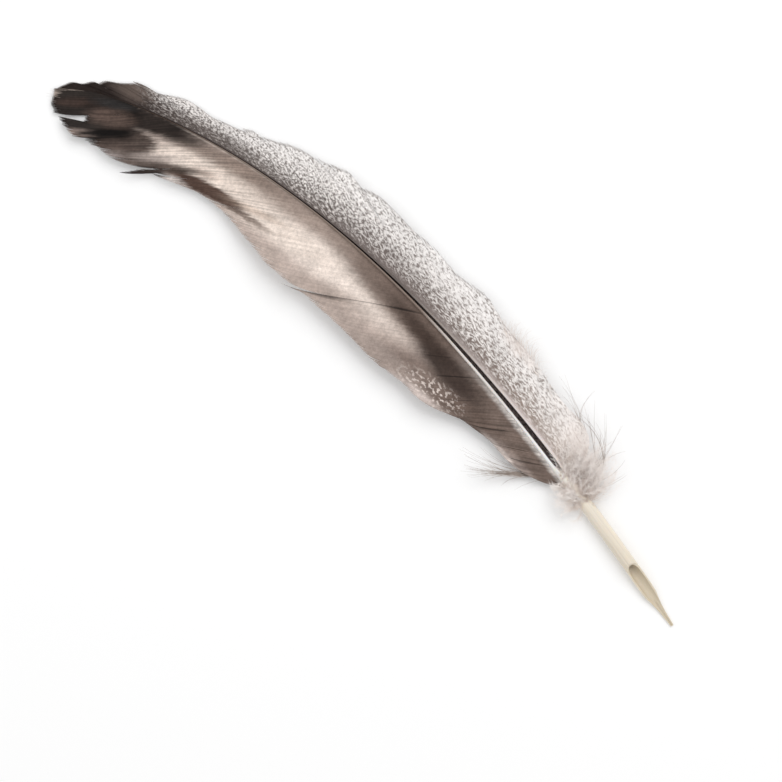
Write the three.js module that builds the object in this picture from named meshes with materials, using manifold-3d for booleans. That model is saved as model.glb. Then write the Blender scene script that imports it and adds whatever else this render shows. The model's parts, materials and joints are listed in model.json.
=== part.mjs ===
// A goose wing feather cut as a pen, lying loose on a table with its grooved side up.
// Millimetres, +Z up. The pen point faces +X, the tip of the feather faces -X and the wide brown
// vane is on the -Y side. The origin is on the table, under the middle of the feather.
//
// A place on the feather is given by s, the distance from the pen point along the shaft, and by w,
// the distance sideways from the shaft.

import * as THREE from 'three';
import { mergeVertices } from 'three/addons/utils/BufferGeometryUtils.js';
import Module from 'manifold-3d';

// ---------- driving dimensions ----------

// The shaft's sweep across the table, from the pen point to its far end
const shaftSweep = new THREE.CubicBezierCurve3(
  new THREE.Vector3(0, 0, 0),
  new THREE.Vector3(-69.4, 15.3, 0),
  new THREE.Vector3(-143.7, 28.5, 0),
  new THREE.Vector3(-204.9, 0, 0),
);
shaftSweep.arcLengthDivisions = 600;
const shaftLength = shaftSweep.getLength();

const vaneStart = 51;          // where the barbs begin, and the groove with them
const shaftSteps = 50;
const shaftWidths = [[0, 3.5], [20, 3.7], [44, 3.6], [56, 3.1], [76, 2.5], [103, 1.8], [130, 1.25],
  [156, 0.9], [182, 0.6], [209, 0.34]];
const shaftHeights = [[0, 3.5], [20, 3.7], [44, 3.6], [56, 3.4], [76, 3.0], [103, 2.3], [130, 1.65],
  [156, 1.15], [182, 0.75], [209, 0.4]];
const groove = { full: 62, depthOfHeight: 0.2 };

const bore = { wall: 0.42, from: -2, to: 46, sides: 12, steps: 12 };
const nib = { scoopLength: 21, shoulder: 9, tipWidth: 0.9, tipHeight: 0.75, slitLength: 7, slitWidth: 0.16 };

// How far sideways each vane reaches, from the foot of the vane to the tip of the feather
const mottledVane = {
  side: 1,
  lockCount: 24,
  outline: [[52, 10.6], [62, 10.6], [78, 12], [96, 13.9], [107, 12.5], [130, 13.4], [141, 12.4],
    [158, 10.1], [170, 6.5], [179, 5.8], [186, 6.5], [197, 5.2], [208, 2.7], [216, 0.3], [221, -2.6]],
  // How much nearer the tip a barb ends than it starts
  reach: [[51, 12], [64, 15.5], [80, 22], [100, 29], [130, 28], [160, 24], [180, 20], [200, 14.5], [208.6, 11.6]],
  edgeRise: 2.6,
  wave: { height: 0.45, length: 62, phase: 0.9 },
  lockLengths: { 8: 1.04, 12: 0.95, 13: 1.03, 18: 0.95, 20: 1.05, 21: 0.93, 22: 1.06 },
};
const brownVane = {
  side: -1,
  lockCount: 24,
  outline: [[53, 6], [62, 8.5], [73, 10.9], [80, 13.2], [88, 16.4], [99, 17.8], [120, 17.6], [136, 18.6],
    [146, 17.9], [156, 15.7], [164, 13.8], [172, 13.3], [183, 14.4], [198, 15], [206, 13.2],
    [211, 12.6], [215, 9.2], [219, 5.2], [221, 2.6]],
  reach: [[51, 13], [64, 15], [80, 21], [103, 33], [130, 34], [160, 33], [170, 32], [180, 28.5],
    [190, 23], [200, 16.8], [208.6, 12]],
  edgeRise: 3.4,
  wave: { height: 0.6, length: 78, phase: 2.4 },
  lockLengths: { 8: 1.05, 9: 0.98, 15: 0.98, 16: 1.12, 17: 0.98, 20: 1.02 },
};

const lock = {
  steps: 6,
  overlap: 1.24,       // width over the spacing of the locks, so that each lies over the next
  taperFrom: 0.74,     // the share of its length after which a lock narrows
  tipShare: 0.56,
  rootThickness: 0.75,
  tipThickness: 0.45,
  edgeShare: 0.6,      // thickness at a lock's edges over that at its middle
  shingle: 0.16,       // how far its edge towards the tip is raised
};

// Loose wisps of down: root and tip as [s, w], how far the middle bows sideways, and the tip's height
const wisps = [
  { root: [51, -1.3], tip: [65.5, -9.6], bow: 0.8, rise: 0.9 },
  { root: [50, -1.3], tip: [69.8, -16.9], bow: 1.2, rise: 2.6 },
  { root: [49, -1.3], tip: [66.4, -18.8], bow: 0.8, rise: 3.4 },
  { root: [47.6, -1.4], tip: [60.5, -13.4], bow: 0.9, rise: 2.2 },
  { root: [47, -1.4], tip: [55.5, -14.1], bow: 0.5, rise: 2.8 },
  { root: [45.6, -1.4], tip: [50.9, -12.6], bow: 0.3, rise: 3.2 },
  { root: [51, 1.3], tip: [63.4, 11.2], bow: -0.6, rise: 1.3 },
  { root: [50, 1.3], tip: [61.4, 19.4], bow: -1.6, rise: 4.2 },
  { root: [49, 1.4], tip: [57.6, 12.6], bow: -0.8, rise: 2 },
  { root: [48, 1.4], tip: [54.2, 18.2], bow: -1.4, rise: 3.6 },
  { root: [46.4, 1.4], tip: [49.8, 19.7], bow: -0.8, rise: 4.6 },
  { root: [44.6, 1.4], tip: [46.6, 14.2], bow: -0.6, rise: 3.4 },
  { root: [42.6, 1.4], tip: [42.2, 15], bow: -0.4, rise: 4 },
  { root: [41, 1.4], tip: [39.4, 10.6], bow: -0.2, rise: 3 },
];
const wisp = { steps: 5, width: 4.2, thickness: 0.55 };

// ---------- places on the feather ----------

// A smooth curve through [x, y] points, as a function of x
function through(points) {
  const slope = (i) => {
    const before = points[Math.max(i - 1, 0)];
    const after = points[Math.min(i + 1, points.length - 1)];
    return (after[1] - before[1]) / (after[0] - before[0]);
  };
  return (x) => {
    const last = points.length - 2;
    let i = 0;
    while (i < last && x > points[i + 1][0]) i += 1;
    const span = points[i + 1][0] - points[i][0];
    const t = THREE.MathUtils.clamp((x - points[i][0]) / span, 0, 1);
    const rise = points[i + 1][1] - points[i][1];
    const ease = t * t * (3 - 2 * t);
    const bendIn = t * (1 - t) * (1 - t) * slope(i) * span;
    const bendOut = t * t * (1 - t) * slope(i + 1) * span;
    return points[i][1] + rise * ease + bendIn - bendOut;
  };
}

const shaftWidth = through(shaftWidths);
const shaftHeight = through(shaftHeights);

// The point at s along the shaft, w to its side and z above the table. Past the shaft's end the
// line goes straight on.
function place(s, w, z) {
  const along = THREE.MathUtils.clamp(s / shaftLength, 0, 1);
  const ahead = shaftSweep.getTangentAt(along);
  const aside = new THREE.Vector3(ahead.y, -ahead.x, 0);
  const point = shaftSweep.getPointAt(along);
  point.addScaledVector(ahead, s - along * shaftLength).addScaledVector(aside, w);
  return point.setZ(z);
}

// ---------- closed bodies from rings of points ----------

// Joins rings of the same number of points into one closed body. Every ring turns the same way, so
// the faces either all point out or all in, and the body's signed volume tells which.
function bodyFromRings(rings) {
  const ringSize = rings[0].length;
  const positions = rings.flat().flatMap((point) => [point.x, point.y, point.z]);
  let triangles = [];
  for (let r = 0; r + 1 < rings.length; r += 1) {
    for (let k = 0; k < ringSize; k += 1) {
      const here = r * ringSize + k;
      const beside = r * ringSize + ((k + 1) % ringSize);
      triangles.push([here, beside, beside + ringSize], [here, beside + ringSize, here + ringSize]);
    }
  }
  // The ends are closed by fans about their middles
  for (const [ring, first] of [[rings[0], 0], [rings.at(-1), (rings.length - 1) * ringSize]]) {
    const middle = ring.reduce((sum, point) => sum.add(point), new THREE.Vector3()).divideScalar(ringSize);
    const centre = positions.length / 3;
    positions.push(middle.x, middle.y, middle.z);
    for (let k = 0; k < ringSize; k += 1) {
      const next = first + ((k + 1) % ringSize);
      triangles.push(first === 0 ? [centre, next, first + k] : [centre, first + k, next]);
    }
  }
  const corner = (i) => new THREE.Vector3().fromArray(positions, 3 * i);
  const volume = triangles.reduce((sum, [a, b, c]) => sum + corner(a).dot(corner(b).cross(corner(c))), 0);
  if (volume < 0) triangles = triangles.map(([a, b, c]) => [a, c, b]);
  const geometry = new THREE.BufferGeometry();
  geometry.setAttribute('position', new THREE.Float32BufferAttribute(positions, 3));
  geometry.setIndex(triangles.flat());
  return geometry;
}

// ---------- the shaft ----------

// The shaft's section: angles from the top of the groove, with a flat underneath to rest on
const sectionAngles = [0, 15, 36, 62, 90, 122, 158];
const flatAngle = 158;

function shaftRing(s) {
  const halfWidth = shaftWidth(s) / 2;
  const height = shaftHeight(s);
  const halfHeight = height / (1 - Math.cos(THREE.MathUtils.degToRad(flatAngle)));
  const grooveShare = THREE.MathUtils.smoothstep(s, vaneStart - 4, groove.full);
  const points = [];
  const angles = [...sectionAngles, ...sectionAngles.slice(1).reverse().map((angle) => -angle)];
  for (const angle of angles) {
    const turn = THREE.MathUtils.degToRad(angle);
    const z = height - halfHeight * (1 - Math.cos(turn));
    const cut = angle === 0 ? groove.depthOfHeight * height * grooveShare : 0;
    points.push(place(s, halfWidth * Math.sin(turn), z - cut));
  }
  return points;
}

function makeShaft() {
  const rings = [];
  for (let i = 0; i <= shaftSteps; i += 1) rings.push(shaftRing((shaftLength * i) / shaftSteps));
  return bodyFromRings(rings);
}

// The hollow of the barrel, rounded off where the pith begins
function makeBore() {
  const rings = [];
  for (let i = 0; i <= bore.steps; i += 1) {
    const share = i / bore.steps;
    const s = THREE.MathUtils.lerp(bore.from, bore.to, share);
    const radius = (shaftWidth(s) / 2 - bore.wall) * Math.sqrt(1 - 0.96 * share ** 8);
    const middle = shaftHeight(s) / 2;
    const ring = [];
    for (let k = 0; k < bore.sides; k += 1) {
      const turn = (2 * Math.PI * k) / bore.sides;
      ring.push(place(s, radius * Math.sin(turn), middle + radius * Math.cos(turn)));
    }
    rings.push(ring);
  }
  return bodyFromRings(rings);
}

// A cutter from one outline on the table, between two heights
function slab(outline, low, high) {
  return bodyFromRings([low, high].map((z) => outline.map(([s, w]) => place(s, w, z))));
}

// The long slanting cut that opens the top of the barrel
function makeScoop() {
  const top = shaftHeight(0) + 2;
  const side = shaftWidth(0);
  const profile = [[-2, nib.tipHeight], [nib.shoulder, nib.tipHeight + 0.7],
    [nib.scoopLength - 4, nib.tipHeight + 1.6], [nib.scoopLength, top], [-2, top]];
  return bodyFromRings([-side, side].map((w) => profile.map(([s, z]) => place(s, w, z))));
}

// The cuts that narrow both sides of the nib to its point
function makeShoulderCuts() {
  const half = nib.tipWidth / 2;
  const outside = shaftWidth(0);
  return [1, -1].map((side) => slab(
    [[-2, side * half], [0, side * half], [nib.shoulder * 0.6, side * (half + 0.35)],
      [nib.shoulder, side * (shaftWidth(0) / 2 - 0.25)], [nib.shoulder + 2, side * outside], [-2, side * outside]],
    -1,
    shaftHeight(0) + 1,
  ));
}

function makeSlit() {
  const half = nib.slitWidth / 2;
  return slab([[-2, half], [nib.slitLength, half], [nib.slitLength, -half], [-2, -half]], -1, 2);
}

// ---------- the vanes ----------

// The height of the middle of a vane's thickness: out of the shaft's side, then up to the edge,
// with the slow waves of a vane that has dried
function vaneHeight(vane, s, w) {
  const out = Math.abs(w) / 16;
  const root = 0.24 + 0.38 * shaftHeight(Math.min(s, shaftLength));
  const wave = vane.wave.height * Math.sin((2 * Math.PI * s) / vane.wave.length + vane.wave.phase);
  return root + vane.edgeRise * out ** 1.7 + wave * Math.min(out, 1) ** 2;
}

// The place on a vane of the barb that starts at root, at a share of its length
function onBarb(vane, root, share, length) {
  const end = root + vane.reach(root);
  const s = root + vane.reach(root) * (0.9 * share + 0.1 * share * share) * length;
  const w = vane.outline(end) * (1.1 * share - 0.1 * share * share) * length;
  return [s, vane.side * w];
}

// One lock of barbs: a thin blade, thicker along its middle, that narrows to a point
function makeLock(vane, root, spacing, length) {
  const rings = [];
  for (let i = 0; i <= lock.steps; i += 1) {
    const share = i / lock.steps;
    const taper = THREE.MathUtils.smootherstep(share, lock.taperFrom, 1.04);
    const halfWidth = (spacing / 2) * lock.overlap * THREE.MathUtils.lerp(1, lock.tipShare, taper);
    const thickness = THREE.MathUtils.lerp(lock.rootThickness, lock.tipThickness,
      THREE.MathUtils.clamp(Math.max(share * 0.7, (root - 140) / 50), 0, 1));
    const ring = [];
    for (const [across, level] of [[-1, -1], [1, -1], [1, 1], [0, 1], [-1, 1]]) {
      const from = THREE.MathUtils.clamp(root + across * halfWidth, vaneStart - 2, shaftLength);
      // The blade starts just across the shaft's midline, so that it is rooted in the shaft
      const [s, w] = onBarb(vane, from, share, length);
      const sideways = i === 0 ? -vane.side * 0.12 : w;
      const half = (thickness / 2) * (across === 0 ? 1 : lock.edgeShare);
      const shingle = lock.shingle * across * Math.min(1, 4 * share);
      const z = vaneHeight(vane, s, w) + shingle + level * half;
      ring.push(place(s, sideways, Math.max(z, 0.02)));
    }
    rings.push(ring);
  }
  return bodyFromRings(rings);
}

function makeLocks(vane) {
  const shape = { ...vane, outline: through(vane.outline), reach: through(vane.reach) };
  const spacing = (shaftLength - vaneStart) / vane.lockCount;
  const locks = [];
  for (let k = 0; k < vane.lockCount; k += 1) {
    const length = vane.lockLengths[k] ?? 1;
    locks.push(makeLock(shape, vaneStart + spacing * (k + 0.5), spacing, length));
  }
  return locks;
}

// ---------- the down ----------

function makeWisp({ root, tip, bow, rise }) {
  const rings = [];
  const start = shaftHeight(root[0]) * 0.5;
  for (let i = 0; i <= wisp.steps; i += 1) {
    const share = i / wisp.steps;
    const halfWidth = (wisp.width / 2) * Math.sqrt(1 - 0.985 * share) * (0.55 + 0.45 * Math.sin(Math.PI * share));
    const s = THREE.MathUtils.lerp(root[0], tip[0], share) - bow * Math.sin(Math.PI * share);
    const w = THREE.MathUtils.lerp(root[1], tip[1], share);
    const z = start + rise * share ** 1.5;
    const half = (wisp.thickness / 2) * (1 - 0.5 * share);
    rings.push([[-1, 0], [0, -1], [1, 0], [0, 1]].map(([across, level]) => (
      place(s + across * halfWidth, w, z + level * half))));
  }
  return bodyFromRings(rings);
}

// ---------- one grown piece ----------

const wasm = await Module();
wasm.setup();

function solid(geometry) {
  const merged = mergeVertices(geometry, 1e-5);
  return new wasm.Manifold(new wasm.Mesh({
    numProp: 3,
    vertProperties: merged.attributes.position.array,
    triVerts: merged.index.array,
  }));
}

function geometryOf(body) {
  const mesh = body.getMesh();
  const geometry = new THREE.BufferGeometry();
  geometry.setAttribute('position', new THREE.BufferAttribute(mesh.vertProperties, 3));
  geometry.setIndex(new THREE.BufferAttribute(mesh.triVerts, 1));
  geometry.computeVertexNormals();
  return geometry;
}

const grown = [...makeLocks(mottledVane), ...makeLocks(brownVane), ...wisps.map(makeWisp)];
const cuts = [makeBore(), makeScoop(), ...makeShoulderCuts(), makeSlit()];
let body = solid(makeShaft());
for (const geometry of grown) body = body.add(solid(geometry));
for (const geometry of cuts) body = body.subtract(solid(geometry));

const feather = new THREE.Mesh(
  geometryOf(body),
  new THREE.MeshStandardMaterial({ color: 0xa79a92, roughness: 0.8, metalness: 0 }),
);
feather.name = 'feather';

// The origin goes on the table, under the middle of the feather's box
const box = new THREE.Box3().setFromObject(feather);
const middle = box.getCenter(new THREE.Vector3());
feather.position.set(-middle.x, -middle.y, -box.min.z);

const group = new THREE.Group();
group.add(feather);

export default group;
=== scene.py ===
# %% [markdown]
# # A goose quill feather
#
# One goose wing feather, cut as a pen, lies on a white table with its grooved side up. The lesson
# starts from the feather's solid model and grows the real surface in its place: the horn of the
# shaft, nearly nine hundred barbs, and the down and loose hairs at the foot of the vanes.
#
# A feather is easiest to describe in its own two directions. Here s is the distance from the pen
# point along the shaft and w is the distance sideways from it, both in millimetres. Each piece is
# first made straight, along s, and is then laid along the sweep of the shaft.

# %% The solid model
import json
from math import pi, radians

import bpy
import numpy as np
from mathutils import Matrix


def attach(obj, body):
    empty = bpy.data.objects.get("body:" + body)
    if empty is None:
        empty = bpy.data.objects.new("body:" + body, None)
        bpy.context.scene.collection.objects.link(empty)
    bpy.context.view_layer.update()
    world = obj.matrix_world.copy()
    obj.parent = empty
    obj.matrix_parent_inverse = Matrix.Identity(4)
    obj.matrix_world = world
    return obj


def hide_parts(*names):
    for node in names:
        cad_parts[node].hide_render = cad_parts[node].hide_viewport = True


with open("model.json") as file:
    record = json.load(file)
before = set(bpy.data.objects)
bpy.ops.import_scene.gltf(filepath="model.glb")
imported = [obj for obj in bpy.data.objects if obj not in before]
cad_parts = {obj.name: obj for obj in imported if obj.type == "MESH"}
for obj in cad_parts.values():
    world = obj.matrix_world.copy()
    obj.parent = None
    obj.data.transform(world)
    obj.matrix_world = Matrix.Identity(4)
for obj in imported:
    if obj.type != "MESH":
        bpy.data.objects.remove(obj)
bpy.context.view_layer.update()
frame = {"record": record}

MM = 0.001

# %% [markdown]
# ## The sweep of the shaft
#
# Seen from above, the shaft is one long bow. A cubic Bezier curve gives it with four points, and a
# fine walk along the curve gives the place and the heading for every distance s. Past the end of
# the shaft the line simply runs straight on, because the last barbs reach beyond it.
#
# The solid model was shifted so that its origin lies under its middle. It rests on a flat at a
# known distance along the shaft, so the same shift follows from where that flat is.

# %% Places on the feather
sweep = np.array([(0.0, 0.0), (-69.4, 15.3), (-143.7, 28.5), (-204.9, 0.0)])
rest_at = 104.0

steps = np.linspace(0, 1, 4001)[:, None]
walk = ((1 - steps) ** 3 * sweep[0] + 3 * (1 - steps) ** 2 * steps * sweep[1]
        + 3 * (1 - steps) * steps ** 2 * sweep[2] + steps ** 3 * sweep[3])
heading = np.gradient(walk, axis=0)
heading /= np.linalg.norm(heading, axis=1)[:, None]
walked = np.concatenate([[0], np.cumsum(np.linalg.norm(np.diff(walk, axis=0), axis=1))])
shaft_length = float(walked[-1])


def on_table(s, w):
    """The x and y in mm, before the shift, of places s along the shaft and w to its side."""
    along = np.clip(s, 0, shaft_length)
    x, y = (np.interp(along, walked, walk[:, k]) for k in (0, 1))
    ahead_x, ahead_y = (np.interp(along, walked, heading[:, k]) for k in (0, 1))
    past = s - along
    return np.stack([x + past * ahead_x + w * ahead_y, y + past * ahead_y - w * ahead_x], -1)


rest = np.array(frame["record"]["mounts"][0]["pos_m"][:2]) / MM
shift = rest - on_table(np.array(rest_at), np.array(0.0))


def place(s, w, z):
    """Where a point of the feather is in the frame, in metres."""
    x_y = on_table(s, w) + shift
    return np.concatenate([x_y, np.broadcast_to(z, x_y.shape[:-1])[..., None]], -1) * MM


print("shaft length, mm:", round(shaft_length, 1), "shift, mm:", shift.round(2))

# %% [markdown]
# ## Curves through a few measured points
#
# Widths, heights and outlines are known at a few places and change smoothly between them. One
# function turns such a list of pairs into a smooth curve, and another gives the soft step that
# blends one state into the next.


# %% Smooth curves
def through(points):
    """A smooth curve through (x, y) pairs, as a function of x."""
    x, y = np.array(points, float).T
    before = np.maximum(np.arange(len(x)) - 1, 0)
    after = np.minimum(np.arange(len(x)) + 1, len(x) - 1)
    slope = (y[after] - y[before]) / (x[after] - x[before])

    def curve(at):
        at = np.clip(at, x[0], x[-1])
        i = np.clip(np.searchsorted(x, at) - 1, 0, len(x) - 2)
        span = x[i + 1] - x[i]
        t = (at - x[i]) / span
        rise = (y[i + 1] - y[i]) * t * t * (3 - 2 * t)
        return y[i] + rise + t * (1 - t) * span * ((1 - t) * slope[i] - t * slope[i + 1])

    return curve


def soft_step(value, low=0.0, high=1.0):
    t = np.clip((value - low) / (high - low), 0, 1)
    return t * t * (3 - 2 * t)


vane_start = 51.0
shaft_width = through([(0, 3.5), (20, 3.7), (44, 3.6), (56, 3.1), (76, 2.5), (103, 1.8), (130, 1.25),
                       (156, 0.9), (182, 0.6), (209, 0.34)])
shaft_height = through([(0, 3.5), (20, 3.7), (44, 3.6), (56, 3.4), (76, 3.0), (103, 2.3), (130, 1.65),
                        (156, 1.15), (182, 0.75), (209, 0.4)])

# %% [markdown]
# ## Table, lights and camera
#
# The table is a plain white sheet. A wide window-like lamp stands beyond the mottled vane, so every
# shadow falls towards the brown vane and stays soft, and a bright white room fills the rest.
#
# The camera looks straight down through a long lens. One picture width covers about 203 mm, and the
# camera is rolled so that the pen point is at the lower right and the tip at the upper left.

# %% Stage
mm_per_pixel = 0.26
picture_side = 782
nib_pixel = np.array([673.0, 626.3])
roll = radians(42.83)
camera_height = 620.0
sensor = 36.0
focus_level = 2.0
room_light = 0.71

turned = np.array([[np.cos(roll), -np.sin(roll)], [np.sin(roll), np.cos(roll)]])
from_nib = (np.array([picture_side, picture_side]) / 2 - nib_pixel) * (1, -1) * mm_per_pixel
looks_at = turned @ from_nib + shift

bpy.ops.object.select_all(action="DESELECT")
bpy.ops.object.camera_add(location=(*(looks_at * MM), camera_height * MM), rotation=(0, 0, roll))
camera = bpy.context.object
camera.data.sensor_width = sensor
camera.data.lens = sensor * (camera_height - focus_level) / (picture_side * mm_per_pixel)
bpy.context.scene.camera = camera

bpy.ops.mesh.primitive_plane_add(size=6, location=(0, 0, 0))
table = bpy.context.object
table.name = "white_table"


def lamp(name, spot, size, power):
    """A square soft lamp at a spot in mm, turned to the middle of the feather."""
    bpy.ops.object.light_add(type="AREA", location=np.array(spot) * MM)
    made = bpy.context.object
    made.name = name
    made.data.size = size * MM
    made.data.energy = power
    made.rotation_euler = (-made.location).to_track_quat("-Z", "Y").to_euler()


lamp("window", (-60, 560, 700), 640, 3.3)
lamp("fill", (-480, -400, 620), 600, 0.8)

room = bpy.data.worlds.new("white_room")
room.use_nodes = True
backdrop = room.node_tree.nodes["Background"].inputs
backdrop["Color"].default_value = (1, 1, 1, 1)
backdrop["Strength"].default_value = room_light
bpy.context.scene.world = room
bpy.context.scene.view_settings.view_transform = "Standard"
print("camera over, mm:", looks_at.round(1), "lens, mm:", round(camera.data.lens, 1))

# %% [markdown]
# ## Small helpers for modelling
#
# The modelling tools act on whatever is selected, so each step selects one piece and nothing else.
# A flat face with many corners is the start of the shaft, of a barb and of the blocks that cut the
# nib, and is pulled out from there. Once a straight piece is finished, its points go to their places
# along the sweep. Looking along s the feather runs towards -X, which mirrors the piece, so its faces
# are turned over too.


# %% Modelling helpers
def select_only(piece):
    bpy.ops.object.select_all(action="DESELECT")
    piece.select_set(True)
    bpy.context.view_layer.objects.active = piece


def disc(name, corners, tilt=0.0):
    """A flat face with its corners on a circle, tilted about y."""
    bpy.ops.object.select_all(action="DESELECT")
    bpy.ops.mesh.primitive_circle_add(vertices=corners, radius=1, fill_type="NGON",
                                      rotation=(0, tilt, 0))
    bpy.ops.object.transform_apply(location=False, rotation=True, scale=False)
    bpy.context.object.name = name
    return bpy.context.object


def pull_out(piece, step, times=1):
    """Extrudes a flat piece by a step, again and again."""
    select_only(piece)
    bpy.ops.object.mode_set(mode="EDIT")
    bpy.ops.mesh.select_all(action="SELECT")
    for _ in range(times):
        bpy.ops.mesh.extrude_region_move(TRANSFORM_OT_translate={"value": step})
    bpy.ops.object.mode_set(mode="OBJECT")


def recalculate_outwards(piece):
    select_only(piece)
    bpy.ops.object.mode_set(mode="EDIT")
    bpy.ops.mesh.select_all(action="SELECT")
    bpy.ops.mesh.normals_make_consistent(inside=False)
    bpy.ops.object.mode_set(mode="OBJECT")


def smooth(piece, angle):
    select_only(piece)
    bpy.ops.object.shade_smooth_by_angle(angle=radians(angle))


def coordinates(piece):
    flat = np.empty(3 * len(piece.data.vertices))
    piece.data.vertices.foreach_get("co", flat)
    return flat.reshape(-1, 3)


def set_coordinates(piece, points):
    piece.data.vertices.foreach_set("co", np.ascontiguousarray(points, float).ravel())
    piece.data.update()


def cut_away(piece, tool):
    """Subtracts the tool from the piece and throws the tool away."""
    select_only(piece)
    cut = piece.modifiers.new("cut", "BOOLEAN")
    cut.operation = "DIFFERENCE"
    cut.object = tool
    cut.solver = "EXACT"
    bpy.ops.object.modifier_apply(modifier=cut.name)
    bpy.data.objects.remove(tool)


def cut_outline(piece, outline, axis, low, high):
    """Cuts away a block: an outline in the two other directions, pulled from low to high on axis."""
    block = disc("knife", len(outline))
    set_coordinates(block, np.insert(np.array(outline, float), axis, low, axis=1))
    pull_out(block, np.insert([0.0, 0.0], axis, high - low).tolist())
    recalculate_outwards(block)
    cut_away(piece, block)


def grown_piece(name, points, faces):
    """A new piece from points given as (s, w, z) and from faces, laid along the sweep."""
    mesh = bpy.data.meshes.new(name)
    mesh.from_pydata(place(*points.T).tolist(), [], faces)
    mesh.update()
    piece = bpy.data.objects.new(name, mesh)
    bpy.context.collection.objects.link(piece)
    recalculate_outwards(piece)
    return piece


def copies(pattern, count, points_each, first=0):
    """The faces of one copy, repeated for copies whose points follow each other in one list."""
    return [tuple(first + points_each * copy + corner for corner in face)
            for copy in range(count) for face in pattern]


# %% [markdown]
# The place of each point on the feather is also kept as UV maps for the patterns. The first map
# covers its square once with the whole piece, so a baked picture of the piece fits on it. Other
# numbers, such as the tone of a barb, are kept as attributes of the points.


# %% Maps and tones
vane_map_start = 43.0
vane_map_size = (180.0, 20.0)
barb_map_size = (100.0, 250.0)
shaft_map_size = (250.0, 12.0)


def add_map(piece, name, across, up):
    corners = np.empty(len(piece.data.loops), int)
    piece.data.loops.foreach_get("vertex_index", corners)
    places = np.stack([across.ravel(), up.ravel()], -1)[corners]
    layer = piece.data.uv_layers.new(name=name, do_init=False)
    layer.uv.foreach_set("vector", places.astype(np.float32).ravel())


def add_tone(piece, name, values):
    tone = piece.data.attributes.new(name, "FLOAT", "POINT")
    tone.data.foreach_set("value", np.ascontiguousarray(values, np.float32).ravel())


# %% [markdown]
# ## The shaft
#
# The shaft is horn, like a fingernail. Its bare foot is a round hollow barrel. Where the vanes
# begin it becomes a solid beam, nearly square, with a groove along the side that faces up here, and
# it tapers to a hair at the tip.
#
# It could be a curve with a bevel, but then the groove and the change from round to square would be
# lost. Instead a ring of points is drawn once, pulled out again and again along the shaft, and each
# ring takes the section that the shaft has there. The points stand closer together at the top, so
# that the groove gets steep walls.

# %% The shaft's section
ring_points = 44
ring_spacing = 1.5
flat_from = radians(158)
top_crowding = 1.55
flank_squareness = 0.3
top_flatness = 0.6
groove_half = through([(50, 0.3), (52, 0.55), (55, 0.62), (66, 0.6), (78, 0.5), (90, 0.42), (104, 0.32),
                       (130, 0.22), (156, 0.16), (182, 0.11), (209, 0.06)])
groove_depth = through([(50, 0.0), (52, 0.9), (55, 1.1), (78, 1.0), (104, 0.7), (130, 0.5), (156, 0.33),
                        (182, 0.2), (209, 0.08)])


def shaft_skin(s, turn):
    """(w, z) of the shaft's skin at s, for a turn in radians from the top of its section."""
    beam = soft_step(s, vane_start - 5, vane_start + 10)
    half = shaft_width(s) / 2
    height = shaft_height(s)
    w = half * np.sign(turn) * np.abs(np.sin(turn)) ** (1 - flank_squareness * beam)
    lower = (1 - np.cos(turn)) / (1 - np.cos(flat_from))
    drop = height * lower ** (1 + top_flatness * beam)
    inside = 1 - soft_step(np.abs(w) / groove_half(s), 0.7, 1.0)
    z = np.maximum(height - drop, 0) - groove_depth(s) * inside * (np.abs(turn) < pi / 2)
    return w, z


# %% The shaft, pulled out ring by ring
ring_count = int(shaft_length / ring_spacing)
shaft = disc("shaft", ring_points, pi / 2)
pull_out(shaft, (shaft_length / ring_count, 0, 0), ring_count)

straight = coordinates(shaft)
turn = np.arctan2(straight[:, 1], straight[:, 2])
turn = np.sign(turn) * pi * (np.abs(turn) / pi) ** top_crowding
skin_w, skin_z = shaft_skin(straight[:, 0], turn)
set_coordinates(shaft, np.stack([straight[:, 0], skin_w, skin_z], -1))
recalculate_outwards(shaft)
print("shaft rings:", ring_count, "points:", len(straight))

# %% [markdown]
# ### Barrel and nib
#
# A quill is cut with a few strokes of a knife. The first takes a long slanting scoop off the
# barrel, which lays its hollow open. Two more narrow the sides to a point with a shoulder, and the
# last splits the point so that ink can run down it. The same strokes are made here: the hollow is
# bored first, and each stroke is a block that is cut away.

# %% Barrel and nib
barrel_end = 46.0
barrel_middle = 1.82
hollow_radius = 1.4
past_nib = 2.0
scoop = [(-past_nib, 0.55), (3, 0.62), (8, 0.95), (12, 1.35), (15, 1.75), (17.5, 2.3), (19.3, 3.1),
         (20.4, 4.2), (20.6, 6), (-past_nib, 6)]
nib_side = [(-past_nib, 0.3), (0.0, 0.36), (2, 0.5), (4.5, 0.68), (6.5, 0.92), (8.2, 1.25),
            (9.6, 1.62), (11.2, 1.95), (11.2, 4), (-past_nib, 4)]
slit_end = 8.0
slit = [(-past_nib, -0.05), (slit_end, -0.035), (slit_end, 0.035), (-past_nib, 0.05)]

bpy.ops.object.select_all(action="DESELECT")
bpy.ops.mesh.primitive_cylinder_add(vertices=36, radius=hollow_radius, depth=barrel_end + past_nib,
                                    location=((barrel_end - past_nib) / 2, 0, barrel_middle),
                                    rotation=(0, pi / 2, 0))
hollow = bpy.context.object
bpy.ops.object.transform_apply(location=True, rotation=True, scale=False)
cut_away(shaft, hollow)
cut_outline(shaft, scoop, axis=1, low=-4, high=4)
for side in (1, -1):
    cut_outline(shaft, [(s, side * w) for s, w in nib_side], axis=2, low=-1, high=5)
cut_outline(shaft, slit, axis=2, low=-1, high=3)

# %% [markdown]
# The walls of the groove and of the hollow get a colour of their own, so the points that lie in
# them are marked before the shaft is bent along its sweep.

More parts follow.
